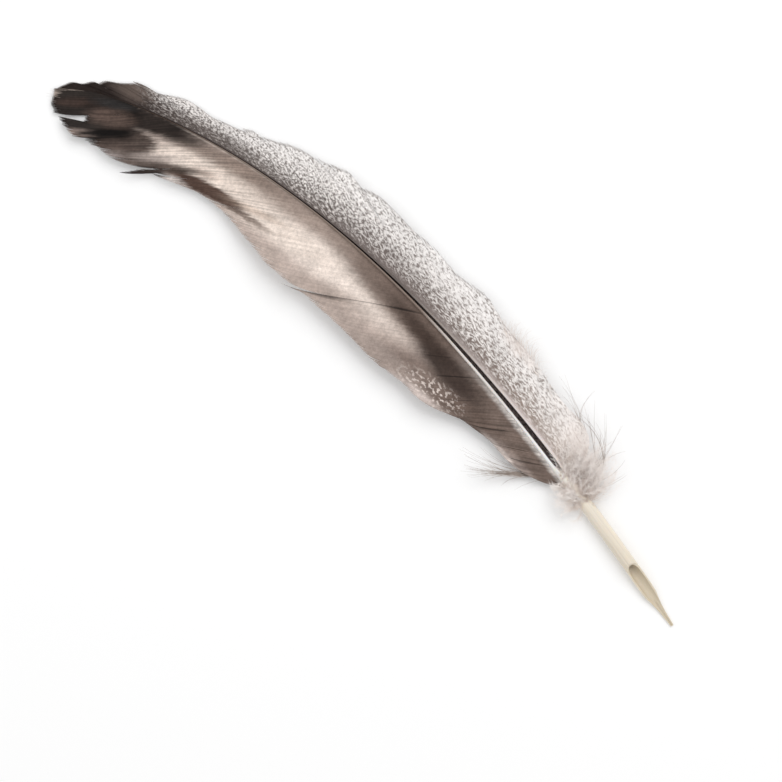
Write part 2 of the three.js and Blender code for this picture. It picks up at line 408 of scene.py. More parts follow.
# %% Marks on the shaft
groove_from = 50.4
groove_rim = 0.12
groove_floor = 0.4
hollow_tint = 0.6
slack = 0.02
s, w, z = coordinates(shaft).T
in_width = soft_step(groove_half(s) * (1 + groove_rim) - np.abs(w), 0.0, groove_rim)
groove_mask = in_width * (s > groove_from) * (z > groove_floor * shaft_height(s))
from_middle = np.hypot(w, z - barrel_middle)
in_bore = (from_middle < hollow_radius + slack) * (s < barrel_end + slack)
set_coordinates(shaft, place(s, w, z))
shaft.data.flip_normals()
around = 0.5 + np.arctan2(w, z - shaft_height(s) / 2) / (2 * pi)
add_map(shaft, "along_shaft", s / shaft_map_size[0], around)
add_tone(shaft, "groove", groove_mask)
add_tone(shaft, "hollow", hollow_tint * in_bore)
smooth(shaft, angle=38)
print("shaft faces after the knife:", len(shaft.data.polygons))

# %% [markdown]
# ## How barbs run
#
# A vane is not a sheet. It is a row of barbs, thin ribs that leave the shaft at a slant and hook on
# to each other with hairs too small to see. Where the hooks let go, the vane splits into locks.
#
# Each barb is known by its root, its distance along the shaft. Two curves then give all barbs of a
# vane: how much nearer the tip a barb ends than it starts, and how far to the side the vane reaches
# there. Locks change that a little. A lock may be longer or shorter than its neighbours, may swing
# towards the tip, and lies a little higher on one side, as slates do.

# %% The two vanes
mottled_vane = {
    "side": 1,
    "outline": [
        (50, 10.6), (56, 11.8), (62, 11.3), (70, 11.7), (78, 12.5), (86, 12.6), (91, 13.3),
        (96, 14.1), (101, 13.4), (107, 12.4), (114, 12.8), (122, 13.0), (130, 13.4),
        (135, 12.9), (138, 11.7), (142, 12.6), (148, 11.4), (156, 10.4), (162, 8.6),
        (168, 7.1), (174, 6.0), (180, 5.8), (186, 6.7), (190, 6.0), (194, 5.0), (199, 5.5),
        (203, 4.2), (207, 3.2), (208.5, 1.9), (210, 2.1), (213, 0.8), (216, 0.2), (220, -3.4)],
    "reach": [
        (43, 10), (51, 12), (64, 15.5), (80, 22), (100, 29), (130, 28), (160, 24), (180, 20),
        (200, 14.5), (208.7, 11)],
    "rise": 2.6,
    "wave": (0.45, 62, 0.9),
    # Locks that differ: first and last root, length there, swing towards the tip there, lift, and
    # the share of the barbs from which the lock has come loose, where that isn't near their roots
    "locks": [
        (70.5, 75, 1.03, 1.03, 0.6, 0.6, 0.1), (84, 89, 1.02, 1.02, -0.5, -0.5, 0.1),
        (108.5, 112, 0.96, 0.95, 0.4, 0.4, -0.1), (112, 118, 1.03, 1.02, -0.6, -0.2, 0.15),
        (140, 144, 1.05, 1.02, -0.7, -0.3, 0.1), (172.6, 175.4, 0.94, 0.92, 0.0, 0.2, -0.1),
        (175.4, 180, 1.05, 1.03, -0.5, 0.0, 0.15), (186, 191.2, 1.0, 1.03, 0.0, 0.0, 0.1),
        (191.2, 192.6, 0.92, 0.9, 0.3, 0.3, -0.1), (192.6, 197, 1.02, 1.0, -0.3, 0.0, 0.1),
        (197, 208.7, 1.0, 0.97, 0.0, 0.0, 0.1)],
    # Cracks: root, from and to share of the barb, depth of the painted shadow in it (below 0 is lighter)
    "cracks": [
        (58, 0.3, 1.0, 0.2), (96, 0.5, 1.0, 0.25), (112, 0.6, 1.0, 0.35), (140, 0.5, 1.0, 0.25),
        (175.4, 0.4, 1.0, 0.3), (191.4, 0.3, 1.0, 0.35)],
}
brown_vane = {
    "side": -1,
    "outline": [
        (50, 5.0), (56, 8.2), (60, 9.2), (67.6, 9.7), (73, 10.9), (78, 12.3), (82, 14.4),
        (86, 16.2), (90, 16.8), (96, 17.4), (101, 18.2), (108, 18.5), (120, 18.3), (130, 18.5),
        (136, 18.9), (142, 18.8), (148, 18.0), (153, 16.6), (159, 14.9), (164, 13.8),
        (170, 13.4), (176, 13.6), (183, 14.5), (189, 14.4), (195, 15.4), (199, 15.3),
        (203, 14.2), (207, 13.4), (211, 13.2), (213, 12.0), (215, 9.6), (217.5, 7.4),
        (218.6, 4.6), (219.4, 2.4), (220, 1.6)],
    "reach": [
        (43, 10), (51, 13), (64, 15), (80, 21), (103, 33), (130, 34), (160, 33), (170, 32),
        (180, 28.5), (190, 23), (200, 17.4), (208.7, 10.5)],
    "rise": 3.4,
    "wave": (0.6, 78, 2.4),
    "locks": [
        (63.5, 71, 1.0, 1.0, 0.0, 0.0, 0.16), (80.5, 86, 1.01, 1.01, -0.2, -0.2, 0.14),
        (98, 101.4, 1.0, 1.0, 0.0, 0.0, 0.1), (101.4, 103.2, 1.04, 1.08, 0.0, -0.1, 0.15, 0.5),
        (103.2, 109, 1.0, 1.0, 0.1, 0.1, -0.05), (125, 131, 1.01, 1.01, 0.0, 0.0, 0.1),
        (152.5, 157.4, 0.98, 0.88, 0.2, 0.0, 0.05), (157.4, 160.6, 1.15, 0.87, -2.1, -2.7, 0.35, 0.6),
        (160.6, 166, 0.98, 1.0, -0.2, 0.4, 0.0), (166, 172, 1.0, 1.0, 0.6, 1.2, 0.1),
        (172, 176.4, 1.02, 1.02, 1.2, 1.6, 0.15), (176.4, 181, 1.0, 0.96, 1.6, 1.4, 0.2),
        (181, 187.5, 1.04, 1.08, 1.6, 9.7, -0.2, 0.2),
        (187.5, 193.2, 0.85, 0.72, 5.4, 4.4, 0.1, 0.25),
        (193.2, 208.7, 1.09, 0.99, 5.8, 2.0, 0.3, 0.0)],
    # Cracks, with the same columns; their depth is painted shadow
    "cracks": [
        (50.5, 0.25, 0.9, 0.6), (50.1, 0.35, 0.8, 0.4), (54.5, 0.3, 0.8, 0.55),
        (56.2, 0.2, 0.7, -0.12), (61.5, 0.3, 0.9, 0.7), (61.1, 0.4, 0.8, 0.45),
        (62.1, 0.25, 0.85, -0.15), (66.5, 0.2, 0.5, -0.15), (72.6, 0.3, 0.7, 0.35),
        (80.4, 0.1, 0.5, 0.6), (81, 0.1, 0.4, -0.15), (87, 0.15, 0.45, 0.4),
        (91.5, 0.5, 0.9, -0.12), (103.1, 0.03, 1.0, 0.45), (103.1, 0.03, 0.34, 0.5),
        (103.5, 0.03, 0.3, 0.35), (102.7, 0.03, 0.34, 0.6), (103.1, 0.56, 0.86, 0.5),
        (102.7, 0.54, 0.88, 0.6), (102.3, 0.56, 0.84, 0.5), (101.9, 0.6, 0.8, 0.3),
        (102.9, 0.88, 1.2, 0.45), (102.4, 0.88, 1.2, 0.5), (102.0, 0.9, 1.2, 0.4),
        (138, 0.55, 0.9, 0.25), (157.2, 0.5, 1.0, 0.4), (166, 0.6, 1.0, 0.25),
        (176.2, 0.5, 1.0, 0.3), (180.9, 0.45, 1.1, 0.6), (187.3, 0.4, 1.0, 0.4)],
}


# %% Places on a vane
barb_exit = 0.4             # the share of the shaft's height at which the barbs leave it
first_rise = 0.14
cupping = 1.7
full_width = 16.0
bend_ahead = 0.06
bend_aside = 0.09


def barb_point(vane, root, share):
    """(s, w) on the barb from a root, at a share of its length, for a vane whose hooks all hold."""
    reach = vane["reach_curve"](root)
    side_reach = vane["side"] * vane["outline_curve"](root + reach)
    bend = share ** 7
    return (root + reach * ((1 - bend_ahead) * share + bend_ahead * bend),
            side_reach * ((1 + bend_aside) * share - bend_aside * bend))


def vane_level_at(vane, s, w):
    """Height of the vane: out of the shaft's flank, then up to the edge in slow waves."""
    out = np.abs(w) / full_width
    height, length, phase = vane["wave"]
    wave = height * np.sin(2 * pi * s / length + phase) * np.minimum(out, 1) ** 2
    return first_rise + barb_exit * shaft_height(s) + vane["rise"] * out ** cupping + wave


# %% [markdown]
# ### Locks
#
# The named locks are the ones that catch the eye. Between them a vane still falls into small locks
# of a few millimetres, nearly but not quite alike, and a seeded generator makes those, so that
# every run grows the same feather.


# %% Locks
barbs_start = 43.0
smallest_gap = 0.5
loose_from = 0.05


def lay_out_locks(vane, seed, widest=6.5, narrowest=3.2):
    """All locks of a vane in order: the named ones, and small ordinary ones in the gaps."""
    rng = np.random.default_rng(seed)
    locks = []
    at = barbs_start - 1
    for named in [*vane["locks"], (shaft_length + 1,) * 2]:
        while named[0] - at > smallest_gap:
            gap = named[0] - at
            width = min(rng.uniform(narrowest, widest), gap)
            if gap - width < narrowest / 2:
                width = gap
            length = rng.uniform(0.998, 1.018)
            swing = rng.uniform(-0.25, 0.25)
            lift = rng.uniform(0.02, 0.1)
            locks.append((at, at + width, length, length, swing, swing, lift, loose_from))
            at += width
        if named[0] < shaft_length:
            locks.append(named if len(named) == 8 else (*named, loose_from))
            at = named[1]
    return np.array(locks)


for vane, seed in ((mottled_vane, 11), (brown_vane, 23)):
    vane["outline_curve"] = through(vane["outline"])
    vane["reach_curve"] = through(vane["reach"])
    vane["all_locks"] = lay_out_locks(vane, seed)
print("locks:", len(mottled_vane["all_locks"]), "mottled,", len(brown_vane["all_locks"]), "brown")

# %% [markdown]
# ## One barb, and then hundreds
#
# One barb is modelled by hand as a straight thin spear: a square of four points pulled out from
# station to station. Its four edges become the two sides, the ridge and the keel. The stations
# stand closer together towards the tip, where the barb bends most and comes to its point.
#
# The copies are laid out with arrays, because hundreds of objects would be slow. Each point of the
# straight barb says how far along the barb it is, how far to its side and how far above its middle,
# and the vane's curves turn that into a place. A barb is a little wider than the space between two
# roots, so that it lies over the next one and the vane is closed.

# %% One straight barb
barb_stations = 16
barb = disc("barb", 4, pi / 2)
pull_out(barb, (1 / (barb_stations - 1), 0, 0), barb_stations - 1)
barb_points = coordinates(barb)
barb_points[:, 0] = np.sin(barb_points[:, 0].clip(0, 1) * pi / 2)
barb_faces = [tuple(face.vertices) for face in barb.data.polygons]
bpy.data.objects.remove(barb)
print("one barb:", len(barb_points), "points,", len(barb_faces), "faces")


# %% A vane of barbs
barbs_a_side = 440
overlap = 0.82              # half the width of a barb, in spaces between two roots
bluntness = 14
ridge_height = 0.045
tilt_height = 0.03
lowest_barb = 0.03
uneven_spacing = 0.12
uneven_length = 0.004
uneven_height = 0.01
uneven_tone = 0.035
across_barbs = 0.42         # mm across the barbs for each mm along the shaft
root_slant = 0.9


def grow_vane(name, vane, barb_count, seed):
    """One piece with all the barbs of a vane."""
    rng = np.random.default_rng(seed)
    spacing = (shaft_length - barbs_start) / barb_count
    shift_by = rng.uniform(-uneven_spacing, uneven_spacing, barb_count)
    roots = barbs_start + spacing * (np.arange(barb_count) + 0.5 + shift_by)
    share, across, above = barb_points.T
    share = np.broadcast_to(share, (barb_count, len(share)))

    # Which lock each barb is in, and where in it, from 0 to 1
    locks = vane["all_locks"]
    lock_of = np.clip(np.searchsorted(locks[:, 0], roots, side="right") - 1, 0, len(locks) - 1)
    (low, high, low_length, high_length, low_swing, high_swing, lift,
     loose) = locks[lock_of].T[:, :, None]

    half_width = spacing * overlap * np.sqrt(np.clip(1 - share ** bluntness, 0.04, 1))
    root = np.clip(roots[:, None] + across * half_width, barbs_start - 0.6, shaft_length)
    within = (root - low) / (high - low)
    length_change = rng.normal(0, uneven_length, (barb_count, 1))
    length = low_length + (high_length - low_length) * within + length_change
    s, w = barb_point(vane, root, share)

    # The lock swings about its root, more and more towards its end
    swing = low_swing + (high_swing - low_swing) * within
    swung = soft_step(share, loose, np.minimum(loose + 0.75, 1.05))
    angle = vane["side"] * np.radians(swing) * swung
    ahead, aside = (s - root) * length, w * length
    s = root + ahead * np.cos(angle) + aside * np.sin(angle)
    w = aside * np.cos(angle) - ahead * np.sin(angle)

    # It lies higher on one side, and so does each barb, which has a ridge along it
    slate = lift * (2 * within - 1) * soft_step(share, 0.1, 0.8)
    ridge = ridge_height * (1 - 0.4 * share) * above
    tilt = tilt_height * across * soft_step(share, 0.0, 0.2)
    jitter = rng.normal(0, uneven_height, (barb_count, 1)) * share
    z = np.maximum(vane_level_at(vane, s, w) + slate + ridge + tilt + jitter, lowest_barb)

    # Each barb is a little lighter or darker, and the painted shadow of a crack lies on the barb beside it
    tone = 1 + uneven_tone * rng.normal(0, 1, (barb_count, 1)).clip(-2, 2) + 0 * share
    for crack_root, begin, end, depth in vane["cracks"]:
        beside = np.argmin(np.abs(roots - crack_root))
        opens = soft_step(share[beside], begin - 0.05, begin + 0.1)
        closes = soft_step(share[beside], end - 0.1, end)
        tone[beside] *= 1 - depth * opens * (1 - closes)

    faces = copies(barb_faces, barb_count, len(barb_points))
    piece = grown_piece(name, np.stack([s, w, z], -1).reshape(-1, 3), faces)
    add_map(piece, "OFBake", (s - vane_map_start) / vane_map_size[0],
            (np.abs(w) / vane_map_size[1]).clip(0, 1))
    add_map(piece, "barbs", across_barbs * root / barb_map_size[0],
            (np.hypot(s - root, w) + root_slant * root) / barb_map_size[1])
    add_tone(piece, "barb_tone_and_crack_shade", tone)
    add_tone(piece, "barb_share", share)
    add_tone(piece, "barb_stray", rng.normal(0, 1, (barb_count, 1)) + 0 * share)
    smooth(piece, angle=60)
    print(name, "barbs:", barb_count, "triangles:", sum(len(face) - 2 for face in faces))
    return piece


mottled = grow_vane("mottled_barbs", mottled_vane, barbs_a_side, 5)
brown = grow_vane("brown_barbs", brown_vane, barbs_a_side, 6)

# %% [markdown]
# ## Down and loose hairs
#
# At the foot of the vanes the barbs lose their hooks. They turn to down: a soft curving thread with
# hundreds of fine hairs standing off it, and many of them lie over the foot of the shaft. A few
# long bare hairs stick out past the vane.
#
# One thread is a list of places along a bent line. Its hairs are needles of four faces, so that
# thousands of them stay light.


# %% Threads and hairs
def three_around(ahead, upwards=(0, 0, 1)):
    """Three directions a third of a turn apart, at right angles to each direction ahead."""
    aside = np.cross(ahead, upwards)
    aside /= np.linalg.norm(aside, axis=-1, keepdims=True) + 1e-9
    over = np.cross(aside, ahead)
    turns = 2 * pi * np.arange(3)[:, None] / 3
    return np.cos(turns) * aside[..., None, :] + np.sin(turns) * over[..., None, :]


def threads(routes, thickness):
    """Points and faces of three-sided threads along routes of shape (threads, steps, 3), in mm."""
    count, steps_each, _ = routes.shape
    ahead = np.gradient(routes, axis=1)
    ahead /= np.linalg.norm(ahead, axis=-1, keepdims=True)
    thin = thickness * np.linspace(1, 0.25, steps_each)[None, :, None, None]
    points = (routes[:, :, None] + three_around(ahead) * thin).reshape(-1, 3)
    pattern = []
    for step in range(steps_each - 1):
        for k in range(3):
            here, beside = 3 * step + k, 3 * step + (k + 1) % 3
            pattern.append((here, beside, beside + 3, here + 3))
    last = 3 * (steps_each - 1)
    pattern += [(2, 1, 0), (last, last + 1, last + 2)]
    return points, copies(pattern, count, 3 * steps_each)


def needles(bases, tips, thickness):
    """The points of needles with three sides, from bases to tips, which may stand upright, in mm."""
    ahead = tips - bases
    ahead /= np.linalg.norm(ahead, axis=-1, keepdims=True)
    rings = bases[:, None] + three_around(ahead, upwards=(0.31, 0.22, 0.93)) * thickness
    return np.concatenate([rings, tips[:, None]], 1).reshape(-1, 3)


needle_faces = [(0, 2, 1), (0, 1, 3), (1, 2, 3), (2, 0, 3)]


def bent_routes(root, middle, tip, low, rise, steps_each=12):
    """Routes in (s, w, z) from roots through middles to tips, rising to their ends."""
    t = np.linspace(0, 1, steps_each)[None, :, None]
    from_root = root[:, None] * (1 - t) * (1 - 2 * t)
    over_middle = middle[:, None] * 4 * t * (1 - t)
    flat = from_root + over_middle + tip[:, None] * t * (2 * t - 1)
    return np.concatenate([flat, low[:, None, None] + rise[:, None, None] * t ** 1.5], -1)


# %% The down
down_thread = 0.045
down_hair = 0.028


def grow_down(name, groups, seed, hairs_each):
    """Down threads in groups: count, roots along s, side, lengths, lean, its spread, rise."""
    rng = np.random.default_rng(seed)
    all_routes = []
    for count, (low_s, high_s), side, (short, long), lean, spread, top in groups:
        root_s = rng.uniform(low_s, high_s, count)
        root = np.stack([root_s, side * rng.uniform(-0.5, 0.45, count) * shaft_width(root_s)], -1)
        angle = np.radians(lean + rng.normal(0, spread, count))
        length = rng.uniform(short, long, count)
        tip = root + np.stack([np.cos(angle), side * np.sin(angle)], -1) * length[:, None]
        low = shaft_height(root_s) * rng.uniform(0.75, 1.02, count)
        middle = (root + tip) / 2 - np.stack([rng.normal(0.4, 0.8, count), rng.normal(0, 0.3, count)], -1)
        all_routes.append(bent_routes(root, middle, tip, low, rng.uniform(-0.4, 1, count) * top))
    routes = np.concatenate(all_routes)
    routes[..., 2] = np.maximum(routes[..., 2], 0.3)
    points, faces = threads(routes, down_thread)

    # Hairs stand off both sides of each thread and lean towards its end
    pick = rng.uniform(0.04, 1, (len(routes), hairs_each)) * (routes.shape[1] - 1)
    i = np.minimum(pick.astype(int), routes.shape[1] - 2)
    rows = np.arange(len(routes))[:, None]
    base = routes[rows, i] + (routes[rows, i + 1] - routes[rows, i]) * (pick - i)[..., None]
    ahead = routes[rows, i + 1] - routes[rows, i]
    ahead /= np.linalg.norm(ahead, axis=2)[..., None]
    aside = np.cross(ahead, (0, 0, 1)) * rng.choice([-1, 1], pick.shape)[..., None]
    hair = ahead * rng.uniform(0.6, 2.0, pick.shape)[..., None] + aside
    hair[..., 2] += rng.normal(0, 0.35, pick.shape)
    hair *= (rng.uniform(0.7, 1.9, pick.shape) / np.linalg.norm(hair, axis=2))[..., None]
    tip = base + hair
    tip[..., 2] = np.maximum(tip[..., 2], 0.1)
    faces += copies(needle_faces, pick.size, 4, first=len(points))
    points = np.concatenate([points, needles(base.reshape(-1, 3), tip.reshape(-1, 3), down_hair)])
    piece = grown_piece(name, points, faces)

    # How far out along its thread each point is, from 0 to 1
    thread_share = np.tile(np.repeat(np.linspace(0, 1, routes.shape[1]), 3), len(routes))
    hair_share = np.repeat(pick.ravel() / (routes.shape[1] - 1), 4)
    add_tone(piece, "thread_share", np.concatenate([thread_share, hair_share]))
    print(name, "threads:", len(routes), "hairs:", pick.size)
    return piece


down = grow_down("down", [
    (96, (38.5, 49.5), 1, (7, 14), 68, 13, 3.2),
    (40, (40, 49), 1, (3.5, 8), 55, 22, 3.0),
    (22, (39, 46), -1, (3, 6), 55, 18, 2.6),
    (16, (39, 45), -1, (3, 6), 75, 16, 1.6),
], 31, 90)

# %% [markdown]
# The long bare hairs are few, and each one shows against the white table, so they are placed one by
# one: where they start, a place that they bend through, and where they end. Some are small bundles.

# %% Loose hairs
hairs = [
    # root s, root w, middle s, w, tip s, w, rise, strands, spread of the tips
    (45, 8, 46.4, 12.6, 50.0, 19.8, 2.4, 2, 0.4), (43.5, 9, 48.4, 13.4, 54.6, 18.5, 2.0, 2, 0.5),
    (55, 11, 58.8, 13.6, 61.0, 19.4, 2.2, 2, 0.3), (49.6, 6, 48.2, 10.2, 47.5, 15.0, 2.6, 1, 0.3),
    (44, 6, 45.2, 11, 44.6, 15.2, 2.8, 1, 0.5), (42, 5, 41.2, 10, 42.8, 14.4, 2.8, 1, 0.5),
    (41, 4, 39.4, 8, 39.6, 12.4, 2.4, 2, 0.6), (45, 10, 52, 12.9, 60.5, 12.2, 1.6, 3, 0.8),
    (50, 9, 58.6, 12.6, 68.0, 15.4, 2.0, 2, 0.7), (47, 9, 53, 12.4, 58.6, 15.8, 2.0, 3, 1.2),
    (46, 8, 48.5, 12.2, 53.0, 14.6, 2.4, 4, 1.4), (54, 10, 59.8, 12.6, 66.0, 12.9, 1.2, 3, 0.9),
    (49.5, -1.3, 57.4, -10.8, 66.0, -19.0, 3.0, 9, 0.9),
    (49.5, -1.3, 57.2, -10.6, 64.0, -18.2, 2.8, 9, 0.9),
    (50, -1.3, 58.2, -10.8, 68.6, -17.8, 3.0, 4, 0.7), (50.5, -1.3, 58.8, -10.2, 71.4, -16.6, 2.4, 2, 0.6),
    (49, -1.3, 56.6, -10.6, 61.6, -17.0, 2.6, 5, 0.6), (50.5, -1.3, 58.6, -9.8, 67.6, -13.4, 2.0, 3, 0.9),
    (49, -1.3, 55.2, -9.2, 57.0, -14.6, 2.8, 2, 0.3), (48.5, -1.3, 52.0, -7.2, 53.2, -12.4, 2.8, 1, 0.3),
    (50, -1.3, 56.6, -10.0, 61.6, -14.4, 1.8, 22, 1.1), (206, -0.5, 213.5, -1.5, 219.6, -2.6, 1.0, 4, 0.8),
    (205, -1, 213.5, -3.6, 220.0, -5.2, 1.0, 4, 0.9)]
loose_hair = 0.066
rng = np.random.default_rng(41)
strands = np.concatenate([np.tile(hair[:7], (hair[7], 1)) for hair in hairs])
spread = np.concatenate([np.full(hair[7], hair[8]) for hair in hairs])[:, None]
strands[:, :2] += rng.normal(0, 0.25, (len(strands), 2))
strands[:, 2:4] += rng.normal(0, 0.35, (len(strands), 2)) * spread
strands[:, 4:6] += rng.normal(0, 1, (len(strands), 2)) * spread


def grow_hairs(name, strands, thickness):
    """One piece with all strands, each given as root, middle and tip in (s, w), and its rise."""
    root_w = strands[:, 1]
    on_vane = vane_level_at(mottled_vane, strands[:, 0], root_w)
    on_shaft = barb_exit * shaft_height(strands[:, 0])
    start_level = np.where(np.abs(root_w) < 2, on_shaft, on_vane)
    root, middle, tip = strands[:, :2], strands[:, 2:4], strands[:, 4:6]
    routes = bent_routes(root, middle, tip, start_level, strands[:, 6], steps_each=14)
    routes[..., 2] = np.maximum(routes[..., 2], 0.2)
    points, faces = threads(routes, thickness)
    piece = grown_piece(name, points, faces)
    print(name, "strands:", len(strands))
    return piece


loose_hairs = grow_hairs("loose_hairs", strands, loose_hair)

# %% [markdown]
# A short way up, the edge of the mottled vane is frayed. Its barbs end there in a low pale tuft of
# bare ends, which lean towards the tip.

# %% Frayed edge
fray_count = 150
fray_middle = 65.0
fray_paleness = 0.35
fray_hair = 0.05
fray_root = rng.normal(fray_middle, 4.6, fray_count).clip(56, 77)
start_s, start_w = barb_point(mottled_vane, fray_root, 0.8)
fray_out = 1.0 + rng.uniform(0.6, 6.0, fray_count) * np.exp(-((fray_root - fray_middle) / 6) ** 2)
fray_lean = np.radians(rng.normal(52, 18, fray_count))
tip_s = start_s + 2.0 + fray_out * np.cos(fray_lean)
tip_w = start_w + 0.9 + fray_out * np.sin(fray_lean)
middle_s, middle_w = start_s + 1.4 + 0.45 * fray_out, start_w + 0.8 + 0.3 * fray_out
fray_rise = rng.uniform(0, 1, fray_count)
frayed = np.stack([start_s, start_w, middle_s, middle_w, tip_s, tip_w, fray_rise], -1)
frayed_edge = grow_hairs("frayed_edge", frayed, fray_hair)
add_tone(frayed_edge, "thread_share", np.full(len(frayed_edge.data.vertices), fray_paleness))

# %% [markdown]
# ## Colours and nodes
#
# Colours are written as they look on a screen, in hexadecimal, and one function turns them linear.
# Another fills a node's inputs, with values or with the outputs to link, and a third adds a node.


# %% Colour and node helpers
keratin_ior = 1.54


def colour(code):
    parts = np.array([int(code[k:k + 2], 16) for k in (1, 3, 5)]) / 255
    linear = np.where(parts <= 0.04045, parts / 12.92, ((parts + 0.055) / 1.055) ** 2.4)
    return (*linear.tolist(), 1.0)


def fill(tree, node, inputs):
    """Gives a node's inputs an output to link, a colour as a code, or any other value."""
    for key, value in inputs.items():
        if isinstance(value, bpy.types.NodeSocket):
            tree.links.new(value, node.inputs[key])
        else:
            node.inputs[key].default_value = colour(value) if isinstance(value, str) else value


def add(tree, kind, inputs=None, out=0, stops=None, **settings):
    """Adds a shader node to a tree and returns one of its outputs."""
    made = tree.nodes.new("ShaderNode" + kind)
    for name, value in settings.items():
        setattr(made, name, value)
    fill(tree, made, inputs or {})
    if stops:
        elements = made.color_ramp.elements
        while len(elements) < len(stops):
            elements.new(0.5)
        for element, (position, shade) in zip(elements, stops):
            element.position = position
            element.color = colour(shade) if isinstance(shade, str) else (shade, shade, shade, 1)
    return made.outputs[out]


def new_finish(name, *pieces):
    """A new finish on some pieces: its node tree and its shader."""
    finish = bpy.data.materials.new(name)
    finish.use_nodes = True
    for piece in pieces:
        piece.data.materials.clear()
        piece.data.materials.append(finish)
    return finish.node_tree, finish.node_tree.nodes["Principled BSDF"]


# %% [markdown]
# ## Pattern places
#
# The patterns on a feather follow two sets of directions. Large patches lie at places on the
# feather, so they read s and w. Fine flecks and streaks follow the barbs, so they read the
# distances across the barbs and along them. Both come from the maps made with the barbs.


# %% Reading the maps
def feather_places(tree):
    """(s, |w|) and (across the barbs, along the barbs) in mm, and then s and |w| alone."""
    whole = add(tree, "UVMap", uv_map="OFBake")
    combed = add(tree, "UVMap", uv_map="barbs")
    spot = add(tree, "VectorMath", {0: whole, 1: (*vane_map_size, 0), 2: (vane_map_start, 0, 0)},
               operation="MULTIPLY_ADD")
    along = add(tree, "VectorMath", {0: combed, 1: (*barb_map_size, 0)}, operation="MULTIPLY")
    s_mm = add(tree, "SeparateXYZ", {0: spot})
    return spot, along, s_mm, s_mm.node.outputs["Y"]


def streaks(tree, at, width, length, detail=2, roughness=0.5, offset=(0, 0, 0)):
    """Noise over places in mm, with features of a width and a length in mm."""
    scaled = add(tree, "VectorMath", {0: at, 1: (1 / width, 1 / length, 1), 2: offset},
                 operation="MULTIPLY_ADD")
    return add(tree, "TexNoise", {"Vector": scaled, "Scale": 1, "Detail": detail,
                                  "Roughness": roughness}, noise_dimensions="2D")


# %% [markdown]
# Most of the painting is one thing laid over another where the feather's places say so: a dark
# pattern towards the tip, a pale strip beside the shaft. So one function multiplies smooth rises,
# and another uses them to lay a colour or a pattern over the ground.


# %% Painting helpers
def rises(tree, strength, *steps):
    """A strength, times a smooth rise from 0 to 1 for each (value, low, high)."""
    for value, low, high in steps:
        strength = add(tree, "MapRange", {0: value, 1: low, 2: high, 3: 0, 4: strength},
                       interpolation_type="SMOOTHSTEP")
    return strength


def lay(tree, ground, over, strength, *steps):
    """Lays a colour or a pattern over the ground, as strongly as the rises say."""
    return add(tree, "Mix", {0: rises(tree, strength, *steps), 6: ground, 7: over}, out=2,
               data_type="RGBA")


def ramp(tree, value, low, high, stops):
    """Colours along a value that runs from low to high."""
    share = add(tree, "MapRange", {0: value, 1: low, 2: high})
    return add(tree, "ValToRGB", {0: share}, stops=stops)


def scaled_by(tree, vector, *amounts):
    """A colour or a vector, multiplied by some amounts one after the other."""
    for amount in amounts:
        vector = add(tree, "VectorMath", {0: vector, "Scale": amount}, operation="SCALE")
    return vector


def patches(tree, ground, spot, marks):
    """Lays soft ellipses over a ground: middle, half lengths, turn, edge, colour, strength."""
    for middle, half, turn_by, edge, shade, strength in marks:
        local = add(tree, "Mapping", {0: spot, 1: (*middle, 0), 2: (0, 0, radians(turn_by)),
                                      3: (*half, 1)}, vector_type="TEXTURE")
        distance = add(tree, "VectorMath", {0: local}, out="Value", operation="LENGTH")
        ground = lay(tree, ground, shade, strength, (distance, 1 + edge, 1 - edge))
    return ground


def ragged(tree, spot, along, amount):
    """Moves places to and fro in streaks along the barbs, so that patches get feathered edges."""
    push = streaks(tree, along, 0.9, 7, detail=3)
    fine = streaks(tree, along, 0.35, 2.2, detail=3, offset=(7, 3, 0))
    for more in (fine, -1):
        push = add(tree, "Math", {0: push, 1: more}, operation="ADD")
    pushed = scaled_by(tree, (1, 0.45, 0), push, amount)
    return add(tree, "VectorMath", {0: spot, 1: pushed}, operation="ADD")


# %% [markdown]
# ## What both vanes share
#
# Keratin reflects like horn, but a vane scatters that reflection in thousands of small facets, so
# its gloss is weak and broad. The tone of each barb, with the painted shadow of its cracks, multiplies
# the colour, and a fine fuzz along the barbs gives the bump and varies the roughness.


# %% Barb finish
def barb_finish(tree, skin, along, painted, *evenness):
    """Tone, roughness, bump and weak gloss of a vane, once its colour is painted."""
    # Lighter and darker barbs side by side let the eye see single barbs from a distance, and the
    # same numbers hold the painted shadow of the cracks
    tone = add(tree, "Attribute", attribute_name="barb_tone_and_crack_shade", out="Fac")
    # A fuzz finer than the barbs breaks the gloss up, so that the vane looks dry and silky
    fuzz = streaks(tree, along, 0.3, 0.8, detail=3, offset=(1, 5, 0))
    fill(tree, skin, {
        "Base Color": scaled_by(tree, painted, tone, *evenness),
        "Roughness": add(tree, "MapRange", {0: fuzz, 3: 0.5, 4: 0.8}),
        "Normal": add(tree, "Bump", {"Strength": 0.2, "Distance": 0.0001, "Height": fuzz}),
        "IOR": keratin_ior,
        "Specular IOR Level": 0.1,
        "Sheen Weight": 0.02,
        "Sheen Roughness": 0.4,
    })


# %% [markdown]
# ## The mottled vane
#
# Each barb here is white keratin with short dark dashes, and the dashes of neighbouring barbs
# nearly line up, which gives the wavy rows called vermiculation. They are drawn as noise that is
# cut hard into light and dark. The flecks are long at the foot, small and worm-like further up, and
# dots near the tip, and each barb strays a little from its neighbours.

# %% Flecks of the mottled barbs
tree, skin = new_finish("mottled_keratin_barbs", mottled)
spot, along, s_mm, w_mm = feather_places(tree)
stray = add(tree, "Attribute", attribute_name="barb_stray", out="Fac")
wander = streaks(tree, along, 1.2, 2.5, detail=1)
moved = spot
for direction, amount in (((0.05, 0.05, 0), stray), ((0, 1, 0), wander)):
    push = scaled_by(tree, direction, amount)
    moved = add(tree, "VectorMath", {0: moved, 1: push}, operation="ADD")
